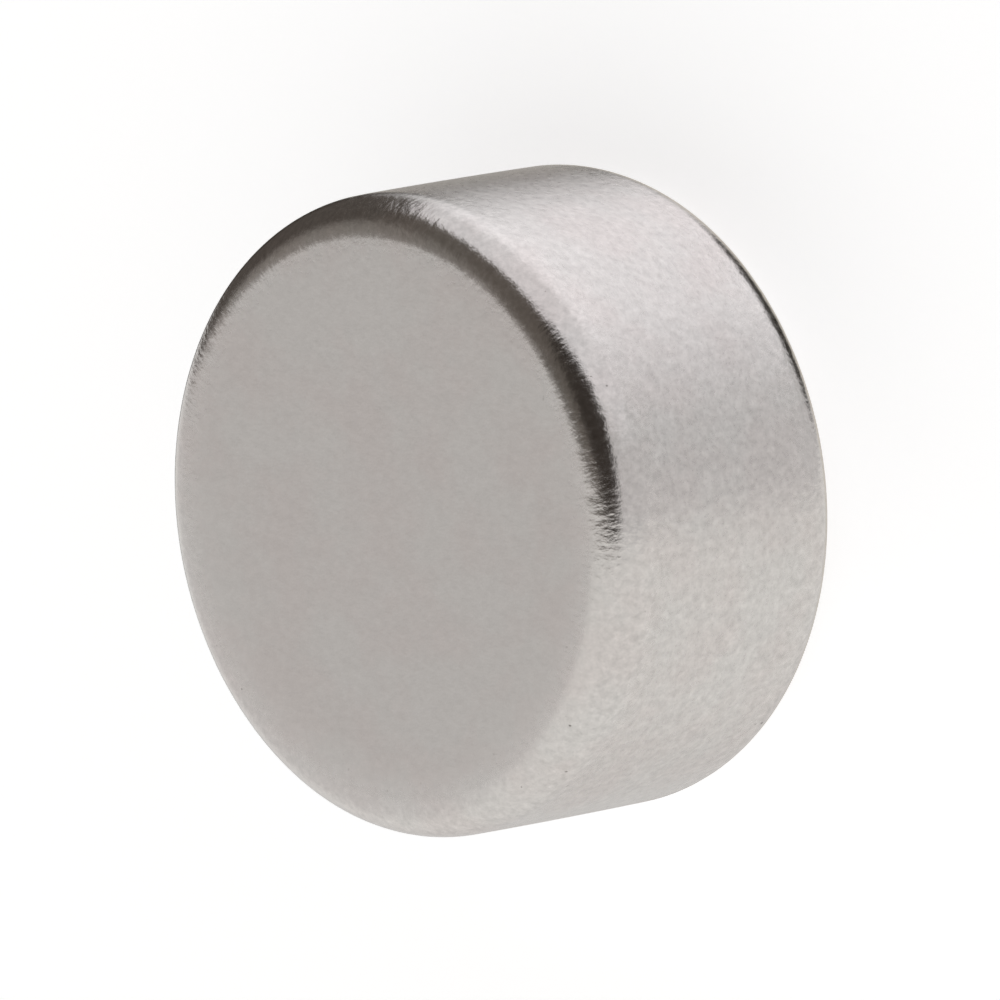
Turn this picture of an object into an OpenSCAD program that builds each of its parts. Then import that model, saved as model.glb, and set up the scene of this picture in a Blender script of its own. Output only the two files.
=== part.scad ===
// Disc magnet: one sintered disc, plated all over after its edges were tumbled round.
// It stands on one flat face, with the origin at the centre of that face and +Z along its axis.

/* [Disc] */
// Diameter across the rim
disc_d = 10; // [4:0.5:40]
// Thickness from flat to flat, half the diameter on this disc
disc_t = 5; // [2:0.5:20]

/* [Edges] */
// Radius that tumbling left on both edges
edge_r = 0.6; // [0.1:0.05:0.9]

/* [Colour] */
// Satin nickel, as the rim shows it
plate_colour = "#cdc9c5"; // [#cdc9c5:Satin nickel, #e3e2e0:Bright nickel, #3b3b3d:Black nickel]

/* [Hidden] */
$fn = 180;

rim_r = disc_d / 2;
// The flat of each face ends where the edge rounding starts
flat_r = rim_r - edge_r;
// The straight wall of the rim, between the two roundings
wall_h = disc_t - 2 * edge_r;

// Half of the disc's section, from the axis out to the rim: the land between the flats,
// the straight wall and a quarter round at each edge.
module half_section() {
    square([flat_r, disc_t]);
    translate([0, edge_r])
        square([rim_r, wall_h]);
    for (round_z = [edge_r, disc_t - edge_r])
        translate([flat_r, round_z])
            circle(r = edge_r);
}

// The whole magnet, turned from its half section in one piece.
module disc_magnet() {
    color(plate_colour)
        rotate_extrude()
            half_section();
}

disc_magnet();
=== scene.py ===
import math

import bpy
import numpy as np
from bpy.props import FloatProperty, FloatVectorProperty, IntProperty, PointerProperty
from mathutils import Matrix, Vector


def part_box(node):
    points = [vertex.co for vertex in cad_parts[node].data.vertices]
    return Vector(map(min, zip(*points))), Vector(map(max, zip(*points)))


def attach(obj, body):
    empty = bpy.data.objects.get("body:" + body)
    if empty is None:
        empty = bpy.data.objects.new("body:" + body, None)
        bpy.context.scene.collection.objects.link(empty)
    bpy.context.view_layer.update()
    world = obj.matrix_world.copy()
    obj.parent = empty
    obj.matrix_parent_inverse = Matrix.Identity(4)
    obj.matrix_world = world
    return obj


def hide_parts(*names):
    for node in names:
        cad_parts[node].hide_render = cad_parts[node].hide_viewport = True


bl_info = {
    "name": "Disc magnet",
    "version": (1, 0, 0),
    "blender": (4, 5, 0),
    "location": "3D View > Sidebar > Disc magnet",
    "description": "Dresses a plated disc magnet and lights it in a plain studio",
    "category": "Object",
}

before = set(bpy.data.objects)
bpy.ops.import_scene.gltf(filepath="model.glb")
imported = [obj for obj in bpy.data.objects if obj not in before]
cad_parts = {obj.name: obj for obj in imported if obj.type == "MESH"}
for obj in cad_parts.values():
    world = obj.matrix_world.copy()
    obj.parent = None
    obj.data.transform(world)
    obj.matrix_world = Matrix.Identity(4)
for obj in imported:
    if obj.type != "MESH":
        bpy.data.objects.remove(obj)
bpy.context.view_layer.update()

DISC_NODE = "disc_magnet"
LOW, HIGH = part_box(DISC_NODE)
MM = 0.001
MICRON = 0.000001


def linear(hex_colour):
    """Turns an sRGB hex colour into linear red, green and blue."""
    codes = np.array([int(hex_colour[k : k + 2], 16) for k in (1, 3, 5)]) / 255
    return tuple(np.where(codes <= 0.04045, codes / 12.92, ((codes + 0.055) / 1.055) ** 2.4))


# Sizes and colours


class DiscForm(bpy.types.PropertyGroup):
    """The disc's sizes, and how far its surface strays from them."""

    radius: FloatProperty(
        name="Radius",
        description="Half the diameter across the rim",
        default=HIGH.y,
        unit="LENGTH",
    )
    thickness: FloatProperty(
        name="Thickness",
        description="From flat to flat",
        default=HIGH.z - LOW.z,
        unit="LENGTH",
    )
    edge: FloatProperty(
        name="Edge rounding",
        description="How far in from the rim tumbling rounded each face",
        default=0.65 * MM,
        unit="LENGTH",
    )
    edge_ease: FloatProperty(
        name="Edge ease",
        description="How softly the rounding starts and ends: 0 is a quarter circle",
        default=0.05,
        subtype="FACTOR",
    )
    face_roll: FloatProperty(
        name="Face roll-off",
        description="Tilt of a face where its edge starts, most of it in its last half millimetre",
        default=math.radians(2.2),
        subtype="ANGLE",
    )
    wall_bow: FloatProperty(
        name="Rim bow",
        description="Tilt of the rim's wall at its ends, as it is a trace barrel-shaped",
        default=math.radians(0.6),
        subtype="ANGLE",
    )
    edge_wander: FloatProperty(
        name="Edge wander",
        description="Share by which the edge rounding grows and shrinks round the disc",
        default=0.05,
        subtype="FACTOR",
    )
    wave: FloatProperty(
        name="Wave",
        description="Height of the long, shallow waves in the rim",
        default=3.5 * MICRON,
        unit="LENGTH",
    )
    dents: IntProperty(
        name="Dents",
        description="How many small dents the disc has, most of them near its edges",
        default=46,
        min=1,
    )
    dent_depth: FloatProperty(
        name="Dent depth",
        description="Depth of the deepest dent",
        default=7 * MICRON,
        unit="LENGTH",
    )


class NickelPlate(bpy.types.PropertyGroup):
    """The plating's colours and finish."""

    colour: FloatVectorProperty(
        name="Plate",
        description="Colour of the nickel",
        default=linear("#e0dcd8"),
        size=3,
        subtype="COLOR",
    )
    warm_colour: FloatVectorProperty(
        name="Warm cloud",
        description="Colour of the faint clouds where the plate is a little thinner",
        default=linear("#dfd8d4"),
        size=3,
        subtype="COLOR",
    )
    pit_colour: FloatVectorProperty(
        name="Pit",
        description="Colour at the bottom of a pinhole in the plate",
        default=linear("#5b544e"),
        size=3,
        subtype="COLOR",
    )
    face_roughness: FloatProperty(
        name="Face roughness",
        description="Roughness of the two ground faces",
        default=0.34,
        subtype="FACTOR",
    )
    edge_roughness: FloatProperty(
        name="Edge roughness",
        description="Roughness of the edges, which tumbling rubbed smoother",
        default=0.18,
        subtype="FACTOR",
    )
    rim_roughness: FloatProperty(
        name="Rim roughness",
        description="Roughness of the rim's straight wall",
        default=0.30,
        subtype="FACTOR",
    )
    grain: FloatProperty(
        name="Grain",
        description="Width of a grain of the satin finish",
        default=0.1 * MM,
        unit="LENGTH",
    )
    grain_height: FloatProperty(
        name="Grain height",
        description="How far a grain stands out on the rounded edges",
        default=5.0 * MICRON,
        unit="LENGTH",
    )
    # Painted sparkle and shade: the plate's colour is painted this much lighter on a grain and darker
    # between grains, standing in for the glints on the grains and the shade in the hollows between
    # them
    grain_shade: FloatProperty(
        name="Grain shade",
        description="How much brighter the plate is on a grain than between grains",
        default=0.45,
        subtype="FACTOR",
    )
    rim_grain: FloatProperty(
        name="Rim grain",
        description="Share of the grain height that the rim's wall has",
        default=0.9,
        subtype="FACTOR",
    )
    face_grain: FloatProperty(
        name="Face grain",
        description="Share of the grain height that the ground faces have",
        default=0.4,
        subtype="FACTOR",
    )
    mottle: FloatProperty(
        name="Mottle",
        description="Width of a spot of the mottle that the grain gathers into",
        default=0.15 * MM,
        unit="LENGTH",
    )
    face_mottle: FloatProperty(
        name="Face mottle",
        description="Share of the mottle that the ground faces have",
        default=0.36,
        subtype="FACTOR",
    )
    mottle_height: FloatProperty(
        name="Mottle height",
        description="How far a spot of the mottle stands out on the rim",
        default=4.5 * MICRON,
        unit="LENGTH",
    )
    # Painted sparkle and shade: the plate's colour is painted this much lighter on a spot of the
    # mottle and darker between spots, standing in for the glints on the spots and the shade in the
    # hollows between them
    mottle_shade: FloatProperty(
        name="Mottle shade",
        description="How much brighter the plate is on a spot of the mottle than between spots",
        default=0.38,
        subtype="FACTOR",
    )
    rub_height: FloatProperty(
        name="Rub height",
        description="How far the rubbed lines across the edges stand out",
        default=5.0 * MICRON,
        unit="LENGTH",
    )


class Studio(bpy.types.PropertyGroup):
    """The camera's place and the studio's light."""

    azimuth: FloatProperty(
        name="Azimuth",
        description="Way round the disc's axis that the camera stands, where 0 looks along +Y",
        default=math.radians(104.4),
        subtype="ANGLE",
    )
    elevation: FloatProperty(
        name="Elevation",
        description="Height of the camera above the floor, as an angle",
        default=math.radians(44.6),
        subtype="ANGLE",
    )
    roll: FloatProperty(
        name="Roll",
        description="Turn of the camera about its line of sight, which brings +Y up the picture",
        default=math.radians(100.1),
        subtype="ANGLE",
    )
    distance: FloatProperty(
        name="Distance",
        description="From the camera to the middle of the disc",
        default=347 * MM,
        unit="LENGTH",
    )
    picture_width: FloatProperty(
        name="Picture width",
        description="Width of what the camera sees at the disc",
        default=15.4 * MM,
        unit="LENGTH",
    )
    floor_size: FloatProperty(
        name="Floor",
        description="Side of the square floor",
        default=3.0,
        unit="LENGTH",
    )
    floor_glow: FloatProperty(
        name="Floor glow",
        description="Share of the floor's white that shadows leave alone",
        default=0.64,
        subtype="FACTOR",
    )


# Shapes

# Steps of the mesh: round the disc, and along a face, an edge and half of the wall
AROUND = 640
FACE_STEPS = 28
EDGE_STEPS = 30
WALL_STEPS = 18
# How late a face rolls off on its way to the edge
ROLL_POWER = 6
# Width of the bell curve by which the finish of an edge fades out, from its middle
EDGE_BELL = 0.6 * MM
# What the random draws start from
SEED = 41
# Whole turns of the cosines by which the edge rounding wanders, and the most that they add up to
WANDER_TURNS = np.arange(1, 8)
WANDER_REACH = 2.6
# Whole turns of the waves, and the power by which they grow weaker as the turns rise
WAVE_TURNS = np.arange(2, 15)
WAVE_FALL = 0.8
# Radians that a wave may turn for each metre along the outline
WAVE_DRIFT = 2500
DENT_WIDTHS = (0.06 * MM, 0.14 * MM)
# How far from the middle of an edge a dent commonly lies
DENT_SPREAD = 0.35 * MM
# Depth of the shallowest dent as a share of the deepest
DENT_LEAST = 0.25


def outline(form, edge):
    """Radius and height along the disc's outline, from the bottom's centre to the top's, for a
    column of edge roundings. The lower half is drawn by its tilt out of the face's plane, step by
    step: the face is level out to its half and then rolls off with the sixth power of the way, the
    edge turns on with a rate that swells in its middle like one less a cosine, and the wall is bowed.
    Two sums of steps, outward and upward, set how long the face and the wall are. The upper half
    is the lower one mirrored."""
    edge = np.atleast_1d(edge)[:, None]
    face_way, edge_way, wall_way = (
        np.linspace(0, 1, steps + 1) for steps in (FACE_STEPS, EDGE_STEPS, WALL_STEPS)
    )
    # On the face and the wall the steps grow shorter towards the edge
    face_way = 1.5 * face_way - 0.5 * face_way**2
    wall_way = 0.5 * wall_way + 0.5 * wall_way**2
    face_mid, edge_mid, wall_mid = (
        (way[1:] + way[:-1]) / 2 for way in (face_way, edge_way, wall_way)
    )
    upright = math.pi / 2 - form.wall_bow
    turned = edge_mid - form.edge_ease * np.sin(2 * math.pi * edge_mid) / (2 * math.pi)
    face_tilt = form.face_roll * np.clip(2 * face_mid - 1, 0, 1) ** ROLL_POWER
    edge_tilt = form.face_roll + (upright - form.face_roll) * turned
    wall_tilt = math.pi / 2 - form.wall_bow * (1 - wall_mid)
    (face_out, face_up), (edge_out, edge_up), (wall_out, wall_up) = (
        (np.diff(way) * np.cos(tilt), np.diff(way) * np.sin(tilt))
        for way, tilt in ((face_way, face_tilt), (edge_way, edge_tilt), (wall_way, wall_tilt))
    )
    arc = edge / edge_out.sum()
    out, up = form.radius - edge, form.thickness / 2 - arc * edge_up.sum()
    spread = face_out.sum() * wall_up.sum() - wall_out.sum() * face_up.sum()
    face = (out * wall_up.sum() - up * wall_out.sum()) / spread
    wall = (up * face_out.sum() - out * face_up.sum()) / spread
    start = np.zeros_like(edge)
    radius = np.concatenate([start, face * face_out, arc * edge_out, wall * wall_out], 1).cumsum(1)
    height = np.concatenate([start, face * face_up, arc * edge_up, wall * wall_up], 1).cumsum(1)
    over = form.thickness - height[:, -2::-1]
    return np.concatenate([radius, radius[:, -2::-1]], 1), np.concatenate([height, over], 1)


def edge_middles(along):
    """How far along the outline the middle of each rounded edge lies."""
    middle = FACE_STEPS + EDGE_STEPS // 2
    return along.mean(0)[[middle, -1 - middle]]


def edge_share(along):
    """1 in the middle of a rounded edge and 0 well away from it: a bell curve of the way to that
    middle along the outline."""
    gap = along[..., None] - edge_middles(along)
    return np.exp(-((gap / EDGE_BELL) ** 2)).sum(-1)


def waves(angle, along, chance):
    """Long waves between -1 and 0: cosines of whole turns round the disc, each with its own drift
    along the outline, added up with weights that fall as the turns rise."""
    drift = chance.uniform(-WAVE_DRIFT, WAVE_DRIFT, WAVE_TURNS.size)
    start = chance.uniform(0, 2 * math.pi, WAVE_TURNS.size)
    weight = 1 / WAVE_TURNS**WAVE_FALL
    phase = WAVE_TURNS * angle[..., None] + drift * along[..., None] + start
    return (np.cos(phase) @ weight / weight.sum() - 1) / 2


def dent_depths(form, angle, along, radius, chance):
    """Depth in metres at each point: every dent is a bell curve of the distance to its middle, which
    is measured round the disc and along the outline."""
    at_angle = chance.uniform(0, 2 * math.pi, form.dents)
    at_edge = chance.choice(edge_middles(along), form.dents)
    at_along = at_edge + chance.normal(0, DENT_SPREAD, form.dents)
    width = chance.uniform(*DENT_WIDTHS, form.dents)
    depth = form.dent_depth * chance.uniform(DENT_LEAST, 1, form.dents)
    apart = (angle[..., None] - at_angle + math.pi) % (2 * math.pi) - math.pi
    gap = (apart * radius[..., None]) ** 2 + (along[..., None] - at_along) ** 2
    return (depth * np.exp(-gap / width**2)).sum(-1)


def disc_surface(form):
    """The disc's skin on a grid of angle by step along the outline: the outline turned about the
    axis, with its edge rounding wandering by a few slow cosines, then pressed in along its own
    normal by the waves and the dents, which die out towards the axis with the radius squared. Gives
    the points, their angles and the length along the outline."""
    chance = np.random.default_rng(SEED)
    angle = np.linspace(0, 2 * math.pi, AROUND, endpoint=False)[:, None]
    start = chance.uniform(0, 2 * math.pi, WANDER_TURNS.size)
    wander = np.cos(WANDER_TURNS * angle + start) @ (1 / WANDER_TURNS)
    radius, height = outline(form, form.edge * (1 + form.edge_wander * wander / WANDER_REACH))
    slope_r, slope_z = np.gradient(radius, axis=1), np.gradient(height, axis=1)
    pace = np.hypot(slope_r, slope_z)
    along = np.cumsum(np.hypot(np.diff(radius, prepend=0), np.diff(height, prepend=0)), axis=1)
    angle = angle + 0 * radius
    calm = np.clip(radius / form.radius, 0, 1) ** 2
    press = form.wave * calm * waves(angle, along, chance)
    press -= dent_depths(form, angle, along, radius, chance) * calm
    radius = radius + press * slope_z / pace
    height = height - press * slope_r / pace
    points = np.stack([radius * np.cos(angle), radius * np.sin(angle), height], -1)
    return points, angle, along


def skin_faces(rings):
    """Corner numbers of a closed skin: vertex 0 is the bottom's centre, then rings of AROUND points,
    then the top's centre. Quads join neighbouring rings and a fan of triangles closes each centre."""
    here = np.arange(AROUND)
    after = np.roll(here, -1)
    base = 1 + AROUND * np.arange(rings - 1)[:, None]
    quads = np.stack([base + here, base + after, base + after + AROUND, base + here + AROUND], -1)
    last = 1 + AROUND * (rings - 1)
    bottom = np.stack([0 * here, 1 + after, 1 + here], -1)
    top = np.stack([0 * here + last + AROUND, last + here, last + after], -1)
    return bottom.tolist() + quads.reshape(-1, 4).tolist() + top.tolist()


def skin_values(grid):
    """One value for each vertex, in the order of skin_faces, from a grid of angle by step."""
    rings = grid[:, 1:-1].swapaxes(0, 1).reshape(-1, *grid.shape[2:])
    return np.concatenate([grid[:1, 0], rings, grid[:1, -1]])


def make_disc(form):
    """The whole magnet as one closed mesh, with what its material reads: a place that goes round the
    disc and along its outline, and the share of rounded edge."""
    points, angle, along = disc_surface(form)
    mesh = bpy.data.meshes.new("magnet_disc")
    mesh.from_pydata(skin_values(points), [], skin_faces(points.shape[1] - 2))
    mesh.polygons.foreach_set("use_smooth", np.ones(len(mesh.polygons), bool))
    wrapped = np.stack([form.radius * np.cos(angle), form.radius * np.sin(angle), along], -1)
    rounds = mesh.attributes.new("round_and_along", "FLOAT_VECTOR", "POINT")
    rounds.data.foreach_set("vector", skin_values(wrapped).astype(np.float32).ravel())
    share = mesh.attributes.new("edge_share", "FLOAT", "POINT")
    share.data.foreach_set("value", skin_values(edge_share(along)).astype(np.float32))
    disc = bpy.data.objects.new("magnet_disc", mesh)
    bpy.context.scene.collection.objects.link(disc)
    return disc


# Materials

# Widths of the patterns, and how far the plate's orange peel stands out
CLOUD = 1.4 * MM
PIT = 0.11 * MM
PEEL = 0.45 * MM
PEEL_HEIGHT = 2.2 * MICRON
RUB = 0.085 * MM
# Where the noise turns to a cloud, and how much of the warm colour the thickest cloud has
CLOUD_LIMITS = (0.42, 0.62)
CLOUD_MOST = 0.8
# Where the noise turns to a pit
PIT_LIMITS = (0.77, 0.83)
# How the pattern of the rubbed lines is squeezed, which draws them out across the edge
RUB_SQUEEZE = (1, 1, 0.5)
# The noise between these limits makes the plate smoother or rougher by these shares
SPECKLE_LIMITS = (0.3, 0.7)
SPECKLE_SHARES = (0.86, 1.16)
# Where the rim's finish ends and a face's begins, as shares of the way from the middle to a face
FINISH_LIMITS = (0.80, 0.995)
# What the noise is on average
MEAN_NOISE = 0.5
FLOOR_WHITE = "#e7e7e7"


def add(tree, kind, output, values=None, links=None, **settings):
    """Adds a node of that kind, with its settings, the values of its sockets and what feeds them, and
    gives the output that is asked for."""
    node = tree.nodes.new(kind)
    for name, value in settings.items():
        setattr(node, name, value)
    for name, value in (values or {}).items():
        node.inputs[name].default_value = value
    for name, socket in (links or {}).items():
        tree.links.new(node.inputs[name], socket)
    return node.outputs[output]


def cloudy_metal(tree, plate, place, edge):
    """The nickel's colour. Clouds a millimetre or so across are a trace warmer, where the bath plated
    a little thinner. Pits 0.05 mm across, where tumbling broke out a grain, are dark on the edges."""
    clouds = add(
        tree,
        "ShaderNodeTexNoise",
        "Fac",
        {"Scale": 1 / CLOUD, "Detail": 3.0, "Roughness": 0.55},
        {"Vector": place},
    )
    cloud_share = add(
        tree,
        "ShaderNodeMapRange",
        "Result",
        {"From Min": CLOUD_LIMITS[0], "From Max": CLOUD_LIMITS[1], "To Max": CLOUD_MOST},
        {"Value": clouds},
    )
    metal = add(
        tree,
        "ShaderNodeMix",
        "Result",
        {"A": (*plate.colour, 1), "B": (*plate.warm_colour, 1)},
        {"Factor": cloud_share},
        data_type="RGBA",
    )
    pits = add(
        tree, "ShaderNodeTexNoise", "Fac", {"Scale": 1 / PIT, "Detail": 1.0}, {"Vector": place}
    )
    pit_share = add(
        tree,
        "ShaderNodeMapRange",
        "Result",
        {"From Min": PIT_LIMITS[0], "From Max": PIT_LIMITS[1]},
        {"Value": pits},
    )
    pitted = add(
        tree, "ShaderNodeMath", "Value", links={0: pit_share, 1: edge}, operation="MULTIPLY"
    )
    return add(
        tree,
        "ShaderNodeMix",
        "Result",
        {"B": (*plate.pit_colour, 1)},
        {"Factor": pitted, "A": metal},
        data_type="RGBA",
    )


def face_share(tree, place):
    """0 on the rim's wall and 1 on the faces, from the height above or below the disc's middle."""
    middle = (LOW.z + HIGH.z) / 2
    height = add(tree, "ShaderNodeSeparateXYZ", "Z", links={"Vector": place})
    from_middle = add(
        tree, "ShaderNodeMath", "Value", {1: middle}, {0: height}, operation="SUBTRACT"
    )
    off_middle = add(
        tree, "ShaderNodeMath", "Value", links={0: from_middle}, operation="ABSOLUTE"
    )
    return add(
        tree,
        "ShaderNodeMapRange",
        "Result",
        {"From Min": FINISH_LIMITS[0] * middle, "From Max": FINISH_LIMITS[1] * middle},
        {"Value": off_middle},
    )


def satin_nickel(plate):
    """Electroplated nickel over a ground and tumbled disc. The bath leaves a bright metal of even,
    slightly warm grey. Under it the ground faces stay satin, the tumbled edges are smoother, and the
    grain of the sintered powder shows through as a fine, even relief with a few pinholes. Over that
    relief the plate's colour is painted a little lighter on each grain and spot of mottle and darker
    between them: painted sparkle on the grains and painted shade in the hollows. A grain of the
    powder is under 0.01 mm, and is drawn at 0.1 mm, about the finest that shows."""
    material = bpy.data.materials.new("satin_nickel")
    material.use_nodes = True
    tree = material.node_tree
    shader = tree.nodes["Principled BSDF"]
    shader.inputs["Metallic"].default_value = 1.0
    place = add(tree, "ShaderNodeTexCoord", "Object")
    wrapped = add(tree, "ShaderNodeAttribute", "Vector", attribute_name="round_and_along")
    edge = add(tree, "ShaderNodeAttribute", "Fac", attribute_name="edge_share")
    squeezed = add(
        tree,
        "ShaderNodeVectorMath",
        "Vector",
        {1: RUB_SQUEEZE},
        {0: wrapped},
        operation="MULTIPLY",
    )

    # The grain, the spots of mottle that it gathers into, the plate's slight orange peel, and the
    # rubbed lines that cross the edges, which are 0.085 mm wide and twice as long
    grain, mottle, peel, rubs = (
        add(
            tree,
            "ShaderNodeTexNoise",
            "Fac",
            {"Scale": 1 / width, "Detail": detail, "Roughness": roughness},
            {"Vector": where},
        )
        for width, detail, roughness, where in (
            (plate.grain, 3.0, 0.65, place),
            (plate.mottle, 2.0, 0.6, place),
            (PEEL, 1.0, 0.5, place),
            (RUB, 1.0, 0.5, squeezed),
        )
    )

    # What goes from the rim's value to the faces'
    on_face = face_share(tree, place)
    body_roughness, body_grain, mottle_share = (
        add(
            tree,
            "ShaderNodeMix",
            "Result",
            {"A": of_rim, "B": of_face},
            {"Factor": on_face},
            data_type="FLOAT",
        )
        for of_rim, of_face in (
            (plate.rim_roughness, plate.face_roughness),
            (plate.rim_grain, plate.face_grain),
            (1.0, plate.face_mottle),
        )
    )
    # The edges are the smoothest, and the grain stands out most on them
    rubbed, grain_share = (
        add(
            tree,
            "ShaderNodeMix",
            "Result",
            {"B": of_edge},
            {"Factor": edge, "A": of_body},
            data_type="FLOAT",
        )
        for of_edge, of_body in ((plate.edge_roughness, body_roughness), (1.0, body_grain))
    )

    speckle = add(
        tree,
        "ShaderNodeMapRange",
        "Result",
        {
            "From Min": SPECKLE_LIMITS[0],
            "From Max": SPECKLE_LIMITS[1],
            "To Min": SPECKLE_SHARES[0],
            "To Max": SPECKLE_SHARES[1],
        },
        {"Value": grain},
    )
    roughness = add(
        tree, "ShaderNodeMath", "Value", links={0: rubbed, 1: speckle}, operation="MULTIPLY"
    )
    tree.links.new(shader.inputs["Roughness"], roughness)

    # Each layer stands out on top of the one before it
    normal = add(
        tree,
        "ShaderNodeBump",
        "Normal",
        {"Strength": 1.0, "Distance": PEEL_HEIGHT},
        {"Height": peel},
    )
    for layer, share, height in (
        (mottle, mottle_share, plate.mottle_height),
        (grain, grain_share, plate.grain_height),
        (rubs, edge, plate.rub_height),
    ):
        depth = add(
            tree, "ShaderNodeMath", "Value", {1: height}, {0: share}, operation="MULTIPLY"
        )
        normal = add(
            tree,
            "ShaderNodeBump",
            "Normal",
            {"Strength": 1.0},
            {"Height": layer, "Distance": depth, "Normal": normal},
        )
    tree.links.new(shader.inputs["Normal"], normal)

    # Painted sparkle and shade: the plate's colour is painted a little brighter on a grain and on a
    # spot, and darker between them, where shade falls in the hollows
    painted_shade_factor = add(tree, "ShaderNodeValue", "Value")
    painted_shade_factor.default_value = 1.0
    for layer, share, shade in (
        (grain, grain_share, plate.grain_shade),
        (mottle, mottle_share, plate.mottle_shade),
    ):
        off_mean = add(
            tree, "ShaderNodeMath", "Value", {1: MEAN_NOISE}, {0: layer}, operation="SUBTRACT"
        )
        strength = add(
            tree, "ShaderNodeMath", "Value", {1: shade}, {0: share}, operation="MULTIPLY"
        )
        painted_shade_factor = add(
            tree,
            "ShaderNodeMath",
            "Value",
            links={0: off_mean, 1: strength, 2: painted_shade_factor},
            operation="MULTIPLY_ADD",
        )
    painted_shade_colour = add(
        tree,
        "ShaderNodeVectorMath",
        "Vector",
        links={0: cloudy_metal(tree, plate, place, edge), "Scale": painted_shade_factor},
        operation="SCALE",
    )
    tree.links.new(shader.inputs["Base Color"], painted_shade_colour)
    return material


def white_floor(glow):
    """White card. It scatters light evenly, and its glow, which only the camera sees, lifts it to
    white without lighting the disc, so that the shadow of the disc stays on it."""
    material = bpy.data.materials.new("white_floor")
    material.use_nodes = True
    tree = material.node_tree
    tree.nodes.remove(tree.nodes["Principled BSDF"])
    seen = add(tree, "ShaderNodeLightPath", "Is Camera Ray")
    strength = add(tree, "ShaderNodeMath", "Value", {1: glow}, {0: seen}, operation="MULTIPLY")
    shine = add(
        tree, "ShaderNodeEmission", "Emission", {"Color": (1, 1, 1, 1)}, {"Strength": strength}
    )
    card = add(tree, "ShaderNodeBsdfDiffuse", "BSDF", {"Color": (*linear(FLOOR_WHITE), 1)})
    both = add(tree, "ShaderNodeAddShader", "Shader", links={0: card, 1: shine})
    tree.links.new(tree.nodes["Material Output"].inputs["Surface"], both)
    return material


# Studio

# What the disc mirrors, by direction: a room above the horizon and a white card below it. In the
# picture that the camera takes, up is +Y. Each zone lies round a direction. It fades in from the
# first cosine to that direction, and from the second on it covers what came before it.
ROOM = "#5c5752"
ROOM_ZONES = (
    ("side wall", (0.43, -0.53, -0.73), (-0.44, -0.30), "#c4c4c5"),
    ("ceiling", (0.16, 0.98, -0.13), (0.585, 0.675), "#dcdbde"),
    ("back light", (-0.13, 0.77, -0.63), (0.80, 0.98), "#faf9fd"),
    ("dark doorway", (-0.97, 0.24, 0.0), (0.755, 0.855), "#4e4945"),
    ("light over the card", (-0.80, 0.06, 0.60), (0.88, 1.0), "#807c78"),
    ("camera", (0.46, 0.35, 0.81), (0.82, 0.95), "#332e2a"),
)
CARD = "#dadad9"
CARD_ZONES = (
    ("shade in front", (-0.85, -0.26, 0.45), (0.78, 0.97), "#cccbcb"),
    ("shade behind", (-0.50, -0.51, -0.70), (0.80, 0.97), "#cecdcc"),
)
# The way down to the card, and the cosines between which the card comes to cover the room
HORIZON = ((-0.02, -1.0, -0.03), (0.03, 0.075))
FAR_ZONES = (
    ("gap behind", (-0.71, 0.02, -0.70), (0.92, 0.98), "#332e29"),
    ("dark gap", (-0.10, 0.33, -0.94), (0.945, 0.975), "#2c2823"),
    ("far card", (-0.50, -0.05, -0.87), (0.93, 0.97), "#cac6be"),
)
BRIGHTNESS = 1.1
# Fine enough for the narrowest zone
WORLD_MAP = 1024
# Between these distances the camera sees things
NEAREST, FARTHEST = 10 * MM, 10.0


def zone_share(tree, way, axis, cosines):
    """1 inside a zone and 0 outside it, from the cosine between a direction and the zone's own."""
    toward = add(
        tree,
        "ShaderNodeVectorMath",
        "Value",
        {1: Vector(axis).normalized()},
        {0: way},
        operation="DOT_PRODUCT",
    )
    return add(
        tree,
        "ShaderNodeMapRange",
        "Result",
        {"From Min": cosines[0], "From Max": cosines[1]},
        {"Value": toward},
        interpolation_type="SMOOTHSTEP",
    )


def covered(tree, way, glow, zones):
    """Lays the zones over a colour, one after the other."""
    for name, axis, cosines, colour in zones:
        glow = add(
            tree,
            "ShaderNodeMix",
            "Result",
            {"B": (*linear(colour), 1)},
            {"Factor": zone_share(tree, way, axis, cosines), "A": glow},
            data_type="RGBA",
            label=name,
        )
    return glow


def plain_glow(tree, colour):
    """One even colour."""
    glow = add(tree, "ShaderNodeRGB", "Color")
    glow.default_value = (*linear(colour), 1)
    return glow


def studio_world():
    """A world in which the studio shows by direction, and which the camera sees as white."""
    world = bpy.data.worlds.new("studio")
    world.use_nodes = True
    tree = world.node_tree
    way = add(tree, "ShaderNodeTexCoord", "Generated")
    near = add(
        tree,
        "ShaderNodeMix",
        "Result",
        links={
            "Factor": zone_share(tree, way, *HORIZON),
            "A": covered(tree, way, plain_glow(tree, ROOM), ROOM_ZONES),
            "B": covered(tree, way, plain_glow(tree, CARD), CARD_ZONES),
        },
        data_type="RGBA",
        label="horizon",
    )
    seen = add(tree, "ShaderNodeLightPath", "Is Camera Ray")
    shown = add(
        tree,
        "ShaderNodeMix",
        "Result",
        {"B": (1 / BRIGHTNESS, 1 / BRIGHTNESS, 1 / BRIGHTNESS, 1)},
        {"Factor": seen, "A": covered(tree, way, near, FAR_ZONES)},
        data_type="RGBA",
    )
    background = tree.nodes["Background"]
    tree.links.new(background.inputs["Color"], shown)
    background.inputs["Strength"].default_value = BRIGHTNESS
    world.cycles.sampling_method = "MANUAL"
    world.cycles.sample_map_resolution = WORLD_MAP
    return world


def make_floor(studio):
    """A square at the height that the disc stands on, left out of the disc's reflections."""
    half = studio.floor_size / 2
    corners = [(-half, -half, 0), (half, -half, 0), (half, half, 0), (-half, half, 0)]
    mesh = bpy.data.meshes.new("floor")
    mesh.from_pydata(corners, [], [(0, 1, 2, 3)])
    mesh.materials.append(white_floor(studio.floor_glow))
    floor = bpy.data.objects.new("floor", mesh)
    bpy.context.scene.collection.objects.link(floor)
    floor.visible_glossy = False
    floor.visible_shadow = False


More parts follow.
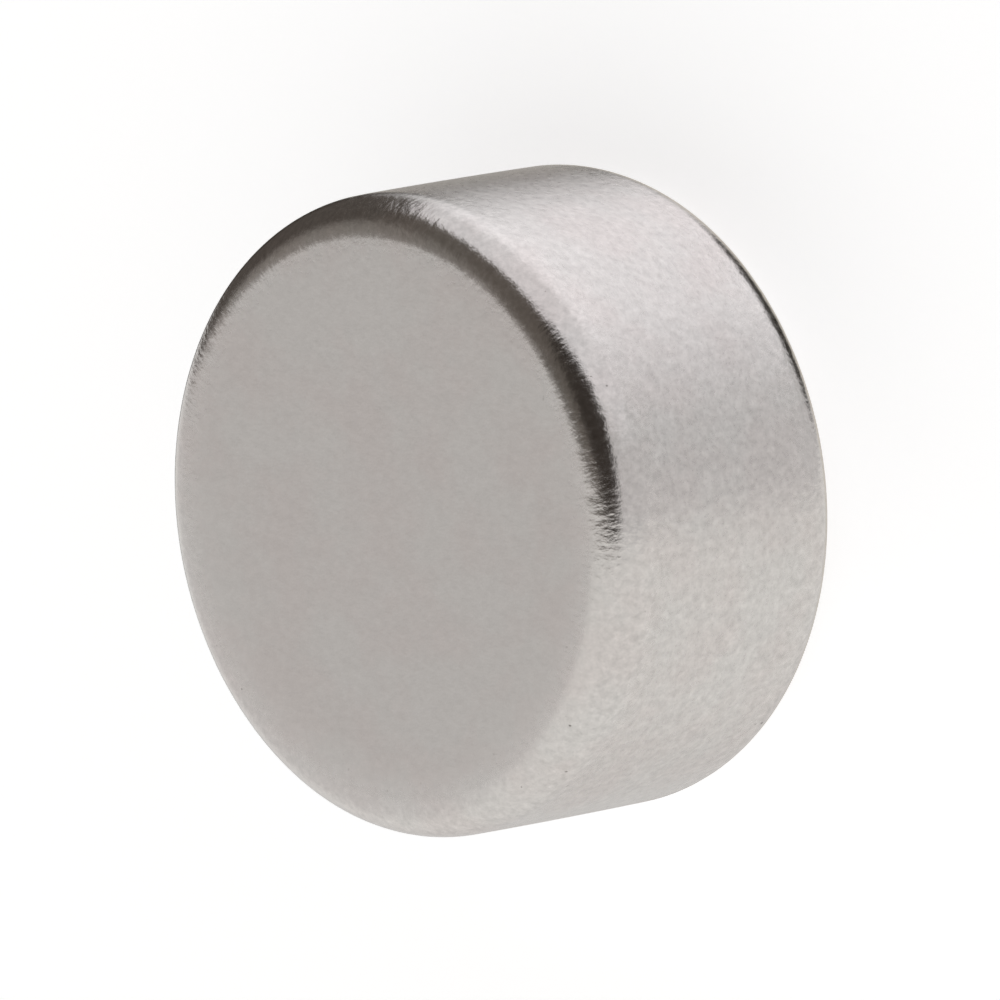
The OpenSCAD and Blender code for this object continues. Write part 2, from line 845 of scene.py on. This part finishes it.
def make_camera(studio):
    """A long lens aimed at the middle of the disc from its azimuth and elevation, then rolled."""
    level = math.cos(studio.elevation)
    back = Vector(
        (
            math.sin(studio.azimuth) * level,
            -math.cos(studio.azimuth) * level,
            math.sin(studio.elevation),
        )
    )
    data = bpy.data.cameras.new("camera")
    data.lens = data.sensor_width * studio.distance / studio.picture_width
    data.clip_start, data.clip_end = NEAREST, FARTHEST
    camera = bpy.data.objects.new("camera", data)
    bpy.context.scene.collection.objects.link(camera)
    aim = (-back).to_track_quat("-Z", "Y").to_matrix() @ Matrix.Rotation(-studio.roll, 3, "Z")
    stand = (LOW + HIGH) / 2 + back * studio.distance
    camera.matrix_world = Matrix.Translation(stand) @ aim.to_4x4()
    bpy.context.scene.camera = camera


# Operators and panel


class MAGNET_OT_disc(bpy.types.Operator):
    """Makes the plated disc and puts it in the place of its solid"""

    bl_idname = "magnet.disc"
    bl_label = "Make disc"

    def execute(self, context):
        disc = make_disc(context.scene.disc_form)
        disc.data.materials.append(satin_nickel(context.scene.nickel_plate))
        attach(disc, "root")
        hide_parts(DISC_NODE)
        return {"FINISHED"}


class MAGNET_OT_studio(bpy.types.Operator):
    """Makes the floor, the studio's light and the camera"""

    bl_idname = "magnet.studio"
    bl_label = "Set up studio"

    def execute(self, context):
        context.scene.view_settings.view_transform = "Standard"
        context.scene.world = studio_world()
        make_floor(context.scene.studio)
        make_camera(context.scene.studio)
        return {"FINISHED"}


class MAGNET_PT_panel(bpy.types.Panel):
    """The disc's and the studio's settings and steps"""

    bl_idname = "MAGNET_PT_panel"
    bl_label = "Disc magnet"
    bl_space_type = "VIEW_3D"
    bl_region_type = "UI"
    bl_category = "Disc magnet"

    def draw(self, context):
        for name in SETTINGS:
            group = getattr(context.scene, name)
            box = self.layout.box()
            for field in group.bl_rna.properties.keys():
                if field not in ("rna_type", "name"):
                    box.prop(group, field)
        for step in STEPS:
            self.layout.operator(step.bl_idname)


SETTINGS = {"disc_form": DiscForm, "nickel_plate": NickelPlate, "studio": Studio}
STEPS = (MAGNET_OT_disc, MAGNET_OT_studio)
CLASSES = (*SETTINGS.values(), *STEPS, MAGNET_PT_panel)


def register():
    for kind in CLASSES:
        bpy.utils.register_class(kind)
    for name, kind in SETTINGS.items():
        setattr(bpy.types.Scene, name, PointerProperty(type=kind))


def unregister():
    for name in SETTINGS:
        delattr(bpy.types.Scene, name)
    for kind in reversed(CLASSES):
        bpy.utils.unregister_class(kind)


def main():
    register()
    bpy.ops.magnet.disc()
    bpy.ops.magnet.studio()


if __name__ == "__main__":
    main()
